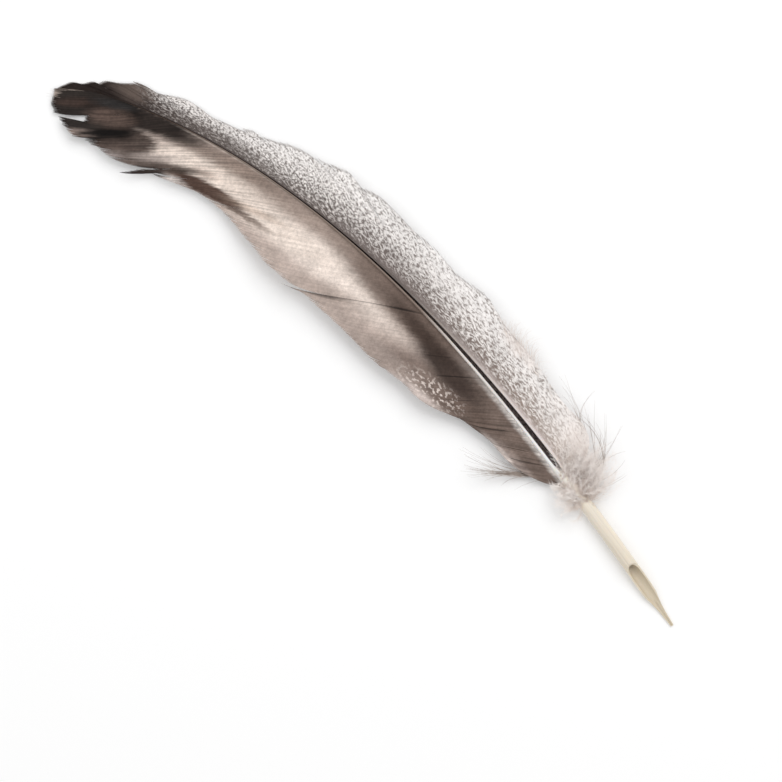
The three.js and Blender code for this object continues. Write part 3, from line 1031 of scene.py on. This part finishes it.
# Four sizes of fleck, blended into each other along the shaft
flakes = streaks(tree, moved, 1.5, 0.42, 3, 0.6)
worms = streaks(tree, moved, 1.05, 0.38, 3, 0.6, (14, 3, 0))
dots = streaks(tree, moved, 0.62, 0.3, 1.5, 0.6, (6, 2, 0))
rows = streaks(tree, moved, 1.1, 0.26, 1, 0.6, (2, 5, 0))
grains = lay(tree, flakes, worms, 1, (s_mm, 96, 124))
grains = lay(tree, grains, dots, 1, (s_mm, 128, 152))
grains = lay(tree, grains, rows, 0.75, (w_mm, 4.4, 2.4), (s_mm, 124, 140))

# %% [markdown]
# Next to the shaft the dark wins, towards the edge the white. The vane gets narrower towards the
# tip, so the distance from the shaft counts for more there. A push upwards makes a fleck whiter.

# %% Light and dark
narrower = add(tree, "MapRange", {0: s_mm, 1: 146, 2: 168, 3: 1, 4: 1.6})
darker = add(tree, "MapRange", {0: s_mm, 1: 166, 2: 194, 3: 1, 4: 0.7})
outwards = w_mm
for change in (narrower, darker):
    outwards = add(tree, "Math", {0: outwards, 1: change}, operation="MULTIPLY")
whiter = add(tree, "MapRange", {0: outwards, 1: 0.5, 2: 9, 3: -0.09, 4: 0.06})
two_tones = add(tree, "MapRange", {0: w_mm, 1: 2.4, 2: 5, 3: -0.03, 4: 0.02})
strokes = streaks(tree, along, 0.3, 1.3, offset=(9, 4, 0))
stroked = add(tree, "MapRange", {0: strokes, 1: 0.25, 2: 0.75, 3: -0.12, 4: 0.12})
for push in (whiter, rises(tree, two_tones, (s_mm, 158, 176)),
             rises(tree, stroked, (s_mm, 96, 124))):
    grains = add(tree, "Math", {0: grains, 1: push}, operation="ADD")
bright = ramp(tree, outwards, 0, 14, [(0, "#C2B8B3"), (0.25, "#E9E3DF"), (0.6, "#F4EFEC"),
                                      (1, "#F8F5F3")])
pale = lay(tree, bright, "#9C9490", 0.85, (w_mm, 5, 1.4), (s_mm, 146, 172))
dark_along = ramp(tree, s_mm, 50, 200, [(0, "#A8998F"), (0.2, "#857770"), (0.45, "#665C58"),
                                        (0.75, "#635B57"), (1, "#443B38")])
dark = lay(tree, dark_along, "#B0A8A4", 0.6, (outwards, 2, 11))
flecked = lay(tree, dark, pale, 1, (grains, 0.37, 0.62))

# %% [markdown]
# Over the flecks come the large areas: a plain strip beside the shaft, a beige foot, a dusky middle
# and a dark brown tip. A grey rim along the edge keeps the white barbs apart from a white table.

# %% The rest of the mottled barbs
strip = ramp(tree, s_mm, 50, 150, [(0, "#CDC3BF"), (0.15, "#E1D7D4"), (0.33, "#C2B7B3"),
                                   (0.5, "#9A8F8B"), (0.6, "#857A76"), (1, "#7B716E")])
plain = lay(tree, flecked, strip, 0.8, (w_mm, 2.6, 1), (s_mm, 150, 110))
painted = patches(tree, plain, ragged(tree, spot, along, 4), [
    # middle (s, w), half lengths, turn, edge softness, colour, strength
    ((43, 9), (19, 7), 0, 0.6, "#F4EBE6", 0.6),
    ((81, 11.6), (5.5, 1.9), 0, 0.7, "#EBE0DA", 0.65),
    ((120, 2), (16, 5), 0, 0.8, "#7A706C", 0.3),
    ((218, 3), (24, 12), 8, 0.22, "#241B18", 0.97),
    ((199.5, 4.2), (5, 3), 0, 0.7, "#7A6B63", 0.6),
])
barb_share = add(tree, "Attribute", attribute_name="barb_share", out="Fac")
rimmed = lay(tree, painted, "#857D79", 0.55, (barb_share, 0.95, 0.972), (s_mm, 70, 100))
# Slow clouds keep so much even noise from looking printed
cloud = streaks(tree, spot, 1 / 0.22, 1 / 0.22)
clouded = add(tree, "MapRange", {0: cloud, 1: 0.3, 2: 0.7, 3: 0.94, 4: 1.05})
barb_finish(tree, skin, along, rimmed, clouded)
print("mottled finish, nodes:", len(tree.nodes))

# %% [markdown]
# ## The brown vane
#
# The wide vane is cream in the middle and brown where the melanin is: along the shaft, over the
# foot, in bars near the edge, and all over the tip. Near the tip, painted shadow darkens a slit
# between two locks and a painted sheen greys the vane beside the shaft. Each patch is a soft ellipse
# in a plain list, and a streaky push along the barbs turns their outlines into feathery ones. Bars
# inside one lock follow its barbs, so those patches are turned.

# %% Patches of the brown barbs
tree, skin = new_finish("brown_and_cream_keratin_barbs", brown)
spot, along, s_mm, w_mm = feather_places(tree)
raggedness = add(tree, "MapRange", {0: s_mm, 1: 138, 2: 176, 3: 1.5, 4: 2.8})
painted = patches(tree, "#BBABA2", ragged(tree, spot, along, raggedness), [
    # middle (s, w), half lengths, turn, edge softness, colour, strength
    ((129.5, 8.5), (23, 4.6), 2, 0.55, "#EDDFD5", 0.95),
    ((152, 9.4), (19, 3.4), 3, 0.6, "#E4D6CB", 0.85),
    ((171, 6.5), (19, 3), 6, 0.5, "#DDCFC4", 0.85),
    ((173, 8.2), (3.5, 0.9), 10, 0.8, "#A8968B", 0.6),
    ((60, 5), (26, 13), 0, 0.35, "#66574F", 0.93),
    ((57, 8.6), (10, 1.8), 3, 0.6, "#A0928B", 0.7),
    ((63, 9.4), (7, 0.8), 3, 0.6, "#CDC1BB", 0.7),
    ((90, 12), (18, 4.8), 14, 0.5, "#75655D", 0.88),
    ((103, 16.2), (18, 2.6), 2, 0.5, "#A5968E", 0.8),
    ((90.5, 16.4), (9, 1.3), 11, 0.6, "#D3C5BF", 0.75),
    ((110, 2.2), (23, 5.5), 0, 0.4, "#66554C", 0.88),
    ((88.8, 6), (12.4, 3.5), 0, 0.55, "#372B26", 0.93),
    ((102, 4.4), (12, 2), -4, 0.7, "#3E312B", 0.82),
    ((78, 10), (10, 2.4), 18, 0.6, "#57473F", 0.45),
    ((150, 1), (27, 4), 1, 0.5, "#96857B", 0.75),
    ((169, 2.6), (18, 1.9), 4, 0.6, "#7A6A60", 0.65),
    ((125, 13.6), (8, 2.4), 16, 0.8, "#A3938A", 0.6),
    ((170, 11.4), (12, 1.8), 2, 0.35, "#422B21", 0.94),
    ((156, 9.4), (8, 0.9), 9, 0.8, "#B5A090", 0.5),
    ((157, 12), (7, 0.8), 3, 0.6, "#5C4A40", 0.7),
    ((182, 11.3), (8, 1.1), 20, 0.5, "#3D3029", 0.8),
    ((181.5, 13.9), (4.5, 0.9), 12, 0.6, "#D1C8C3", 0.8),
    ((193, 13.3), (9, 1.9), 17, 0.5, "#473A35", 0.85),
    ((189.5, 15.8), (8, 1.8), 21, 0.4, "#231A17", 0.95),
    ((196.5, 9.2), (8.5, 3.3), 8, 0.25, "#3B2F2A", 0.93),
    ((187, 10.4), (7, 1.1), 20, 0.7, "#B9ADA6", 0.5),
    ((193, 2.4), (16, 3.2), 4, 0.45, "#1C1411", 0.97),
    ((215, 5), (20, 14), 0, 0.12, "#100A08", 0.96),
    ((200, 12), (5.5, 1.7), 22, 0.5, "#5B4E48", 0.8),
    ((200, 14.6), (4.5, 0.9), 5, 0.7, "#9E9390", 0.7),
    ((202.5, 5.3), (5.5, 2.2), 10, 0.7, "#6A5850", 0.75),
    ((210.5, 12.3), (5, 1.2), 16, 0.6, "#92827A", 0.85),
    # painted shadow over dark barbs, in the slit where one lock lies under the next
    ((202.5, 9.5), (7.5, 0.75), 20, 0.5, "#0A0605", 0.95),
    ((213, 4.4), (5, 1.2), 16, 0.6, "#43342E", 0.6),
    # painted sheen: a grey reflection beside the shaft near the tip
    ((203, 1.7), (5, 1.1), 8, 0.7, "#413F3F", 0.5),
    ((220.2, 3), (1.9, 2.6), 0, 0.5, "#B9AAA0", 0.7),
])

# %% [markdown]
# A white line beside the foot of the shaft, and a cream one further up, are painted highlight of
# the shaft's lit pale ridge, laid on the barbs beside it. Pale specks lie near the edge of the foot,
# inside one soft ellipse. Streaks along the barbs, stronger at the foot and the tip, let single barbs
# show in the brown.

# %% The rest of the brown barbs
frayed_w = add(tree, "SeparateXYZ", {0: ragged(tree, spot, along, 1.4)}, out="Y")
# Painted highlight of the shaft's lit ridge: white beside its foot, cream further up
painted = lay(tree, painted, "#F3EDE8", 0.95, (frayed_w, 3, 1.2), (s_mm, 92, 66))
painted = lay(tree, painted, "#CDC0B6", 0.4, (w_mm, 0.9, 0.5), (s_mm, 140, 155),
              (s_mm, 190, 176))
specks = streaks(tree, spot, 1 / 0.8, 1 / 1.4)
speck_room = patches(tree, "#000000", spot, [((88.5, 13.2), (9, 2.9), 14, 0.6, "#FFFFFF", 0.75)])
painted = lay(tree, painted, "#E6D9D1", speck_room, (specks, 0.52, 0.64))
# Grit, slow clouds and long streaks multiply the colour, from the finest to the broadest
grit = streaks(tree, spot, 1 / 1.1, 1 / 1.1, 6, 0.75)
gritty = add(tree, "MapRange", {0: grit, 1: 0.34, 2: 0.66, 3: 0.84, 4: 1.14})
cloud = streaks(tree, spot, 1 / 0.24, 1 / 0.24, 3)
clouded = add(tree, "MapRange", {0: cloud, 1: 0.32, 2: 0.68, 3: 0.89, 4: 1.07})
strand = streaks(tree, along, 0.45, 16, detail=4, offset=(5, 1, 0))
gentle = add(tree, "MapRange", {0: strand, 1: 0.3, 2: 0.7, 3: 0.965, 4: 1.035})
strong = add(tree, "MapRange", {0: strand, 1: 0.35, 2: 0.65, 3: 0.75, 4: 1.3})
strong_at_foot = lay(tree, gentle, strong, 0.8, (s_mm, 92, 68))
stranded = lay(tree, strong_at_foot, strong, 1, (s_mm, 128, 190))
barb_finish(tree, skin, along, painted, gritty, clouded, stranded)
print("brown finish, nodes:", len(tree.nodes))

# %% [markdown]
# ## Horn and down
#
# The barrel is pale clear horn, faintly streaked along its length. From the vanes on, its flank
# beside the brown vane is painted lighter as light and the other flank painted darker as shade. The
# groove is painted dark as shade, with lighter flecks as painted glints, and has no gloss.

# %% Horn
tree, skin = new_finish("pale_horn", shaft)
unrolled = add(tree, "UVMap", uv_map="along_shaft")
skin_mm = add(tree, "VectorMath", {0: unrolled, 1: (*shaft_map_size, 0)}, operation="MULTIPLY")
s_mm = add(tree, "SeparateXYZ", {0: skin_mm})
# The horn darkens towards the tip; from the vanes on, one flank gets painted light and the other painted
# shade
painted_lit_flank = ramp(tree, s_mm, 0, 209, [(0, "#DDD0BA"), (0.2, "#E8DFD0"), (0.26, "#FFFDFB"),
                                        (0.44, "#E9E2DC"), (0.505, "#8E7E74"), (0.8, "#8F8177"),
                                        (0.9, "#55473F"), (1, "#251C19")])
painted_shaded_flank = ramp(tree, s_mm, 0, 209, [(0, "#DDD0BA"), (0.2, "#E8DFD0"), (0.27, "#DAD0CD"),
                                       (0.36, "#D3C9C5"), (0.45, "#A59B95"), (0.54, "#6E6561"),
                                       (0.85, "#504845"), (1, "#251C19")])
horn = lay(tree, painted_lit_flank, painted_shaded_flank, 1, (s_mm.node.outputs["Y"], 6.25, 6.6))
# Faint grain along the shaft, as in a fingernail
grain = streaks(tree, skin_mm, 1 / 0.05, 1 / 2.2, 4)
grained = add(tree, "MapRange", {0: grain, 1: 0.3, 2: 0.7, 3: 0.9, 4: 1.06})

# Painted shade in the groove draws the long dark line that the eye follows up the feather, and
# lighter flecks in it are painted glints
groove_glint_noise = streaks(tree, skin_mm, 1 / 0.9, 1 / 1.6, 3)
glint_flecks = add(tree, "MapRange", {0: groove_glint_noise, 1: 0.38, 2: 0.65, 3: 0.5, 4: 2.4})
painted_groove_shade = ramp(tree, s_mm, 50, 115, [(0, "#4A4240"), (0.7, "#453D3A"), (1, "#1E1816")])
in_groove = add(tree, "Attribute", attribute_name="groove", out="Fac")
in_hollow = add(tree, "Attribute", attribute_name="hollow", out="Fac")
grooved = lay(tree, scaled_by(tree, horn, grained), scaled_by(tree, painted_groove_shade, glint_flecks), in_groove)

# The bare barrel shines, and the beam between the vanes hardly does
polish = add(tree, "MapRange", {0: grain, 3: 0.22, 4: 0.42})
duller = rises(tree, 0.35, (s_mm, 48, 90))
gloss = ramp(tree, s_mm, 0, 209, [(0, 0.5), (0.25, 0.45), (0.45, 0.15), (1, 0.1)])
fill(tree, skin, {
    "Base Color": lay(tree, grooved, "#C9BBA2", in_hollow),
    "Roughness": add(tree, "Math", {0: polish, 1: duller}, operation="ADD"),
    "Specular IOR Level": lay(tree, gloss, "#000000", in_groove),
    "Normal": add(tree, "Bump", {"Strength": 0.12, "Distance": 0.0001, "Height": grain}),
    "IOR": keratin_ior,
    "Subsurface Weight": 0.2,
    "Subsurface Radius": (0.0012, 0.0009, 0.0006),
})
print("horn finish, nodes:", len(tree.nodes))

# %% [markdown]
# Down is plain beige keratin, paler towards its ends, and matte because its hairs scatter light in
# all directions. The bare hairs have no fluff to catch the light, so each one reads as a thin
# brown-grey line. Both only wander a little between two shades.


# %% Down and loose hairs
def two_shades(tree, scale, detail, dark, light):
    """Noise through the whole piece, and the two shades that it wanders between."""
    place_in_piece = add(tree, "TexCoord", out="Object")
    cloud = add(tree, "TexNoise", {"Vector": place_in_piece, "Scale": scale, "Detail": detail})
    return cloud, add(tree, "ValToRGB", {0: cloud}, stops=[(0.35, dark), (0.65, light)])


tree, skin = new_finish("beige_down", down, frayed_edge)
cloud, shades = two_shades(tree, 260, 3, "#C9B9AE", "#ECE1D9")
thread_share = add(tree, "Attribute", attribute_name="thread_share", out="Fac")
fill(tree, skin, {
    "Base Color": lay(tree, shades, "#FBF5F1", 0.9, (thread_share, 0.1, 0.7)),
    "Roughness": add(tree, "MapRange", {0: cloud, 3: 0.75, 4: 0.95}),
    "Sheen Weight": 0.2,
})

tree, skin = new_finish("bare_keratin_hairs", loose_hairs)
cloud, shades = two_shades(tree, 180, 2, "#83746A", "#B3A59B")
fill(tree, skin, {
    "Base Color": shades,
    "Roughness": add(tree, "MapRange", {0: cloud, 3: 0.45, 4: 0.65}),
    "IOR": keratin_ior,
})

# %% Table
tree, skin = new_finish("white_paper", table)
fill(tree, skin, {"Base Color": "#FEFEFE", "Roughness": 0.9, "Specular IOR Level": 0.1})
print("finishes:", [finish.name for finish in bpy.data.materials])

# %% [markdown]
# ## Riding on the body
#
# Every piece rides on the feather's one body and stands for the solid feather, whose part is hidden.

# %% Ride and replace
for piece, slot in ((shaft, "quill"), (mottled, "mottled_vane"), (brown, "brown_vane"), (down, "down"),
                    (loose_hairs, "down"), (frayed_edge, "down")):
    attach(piece, "root")
    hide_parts("feather")
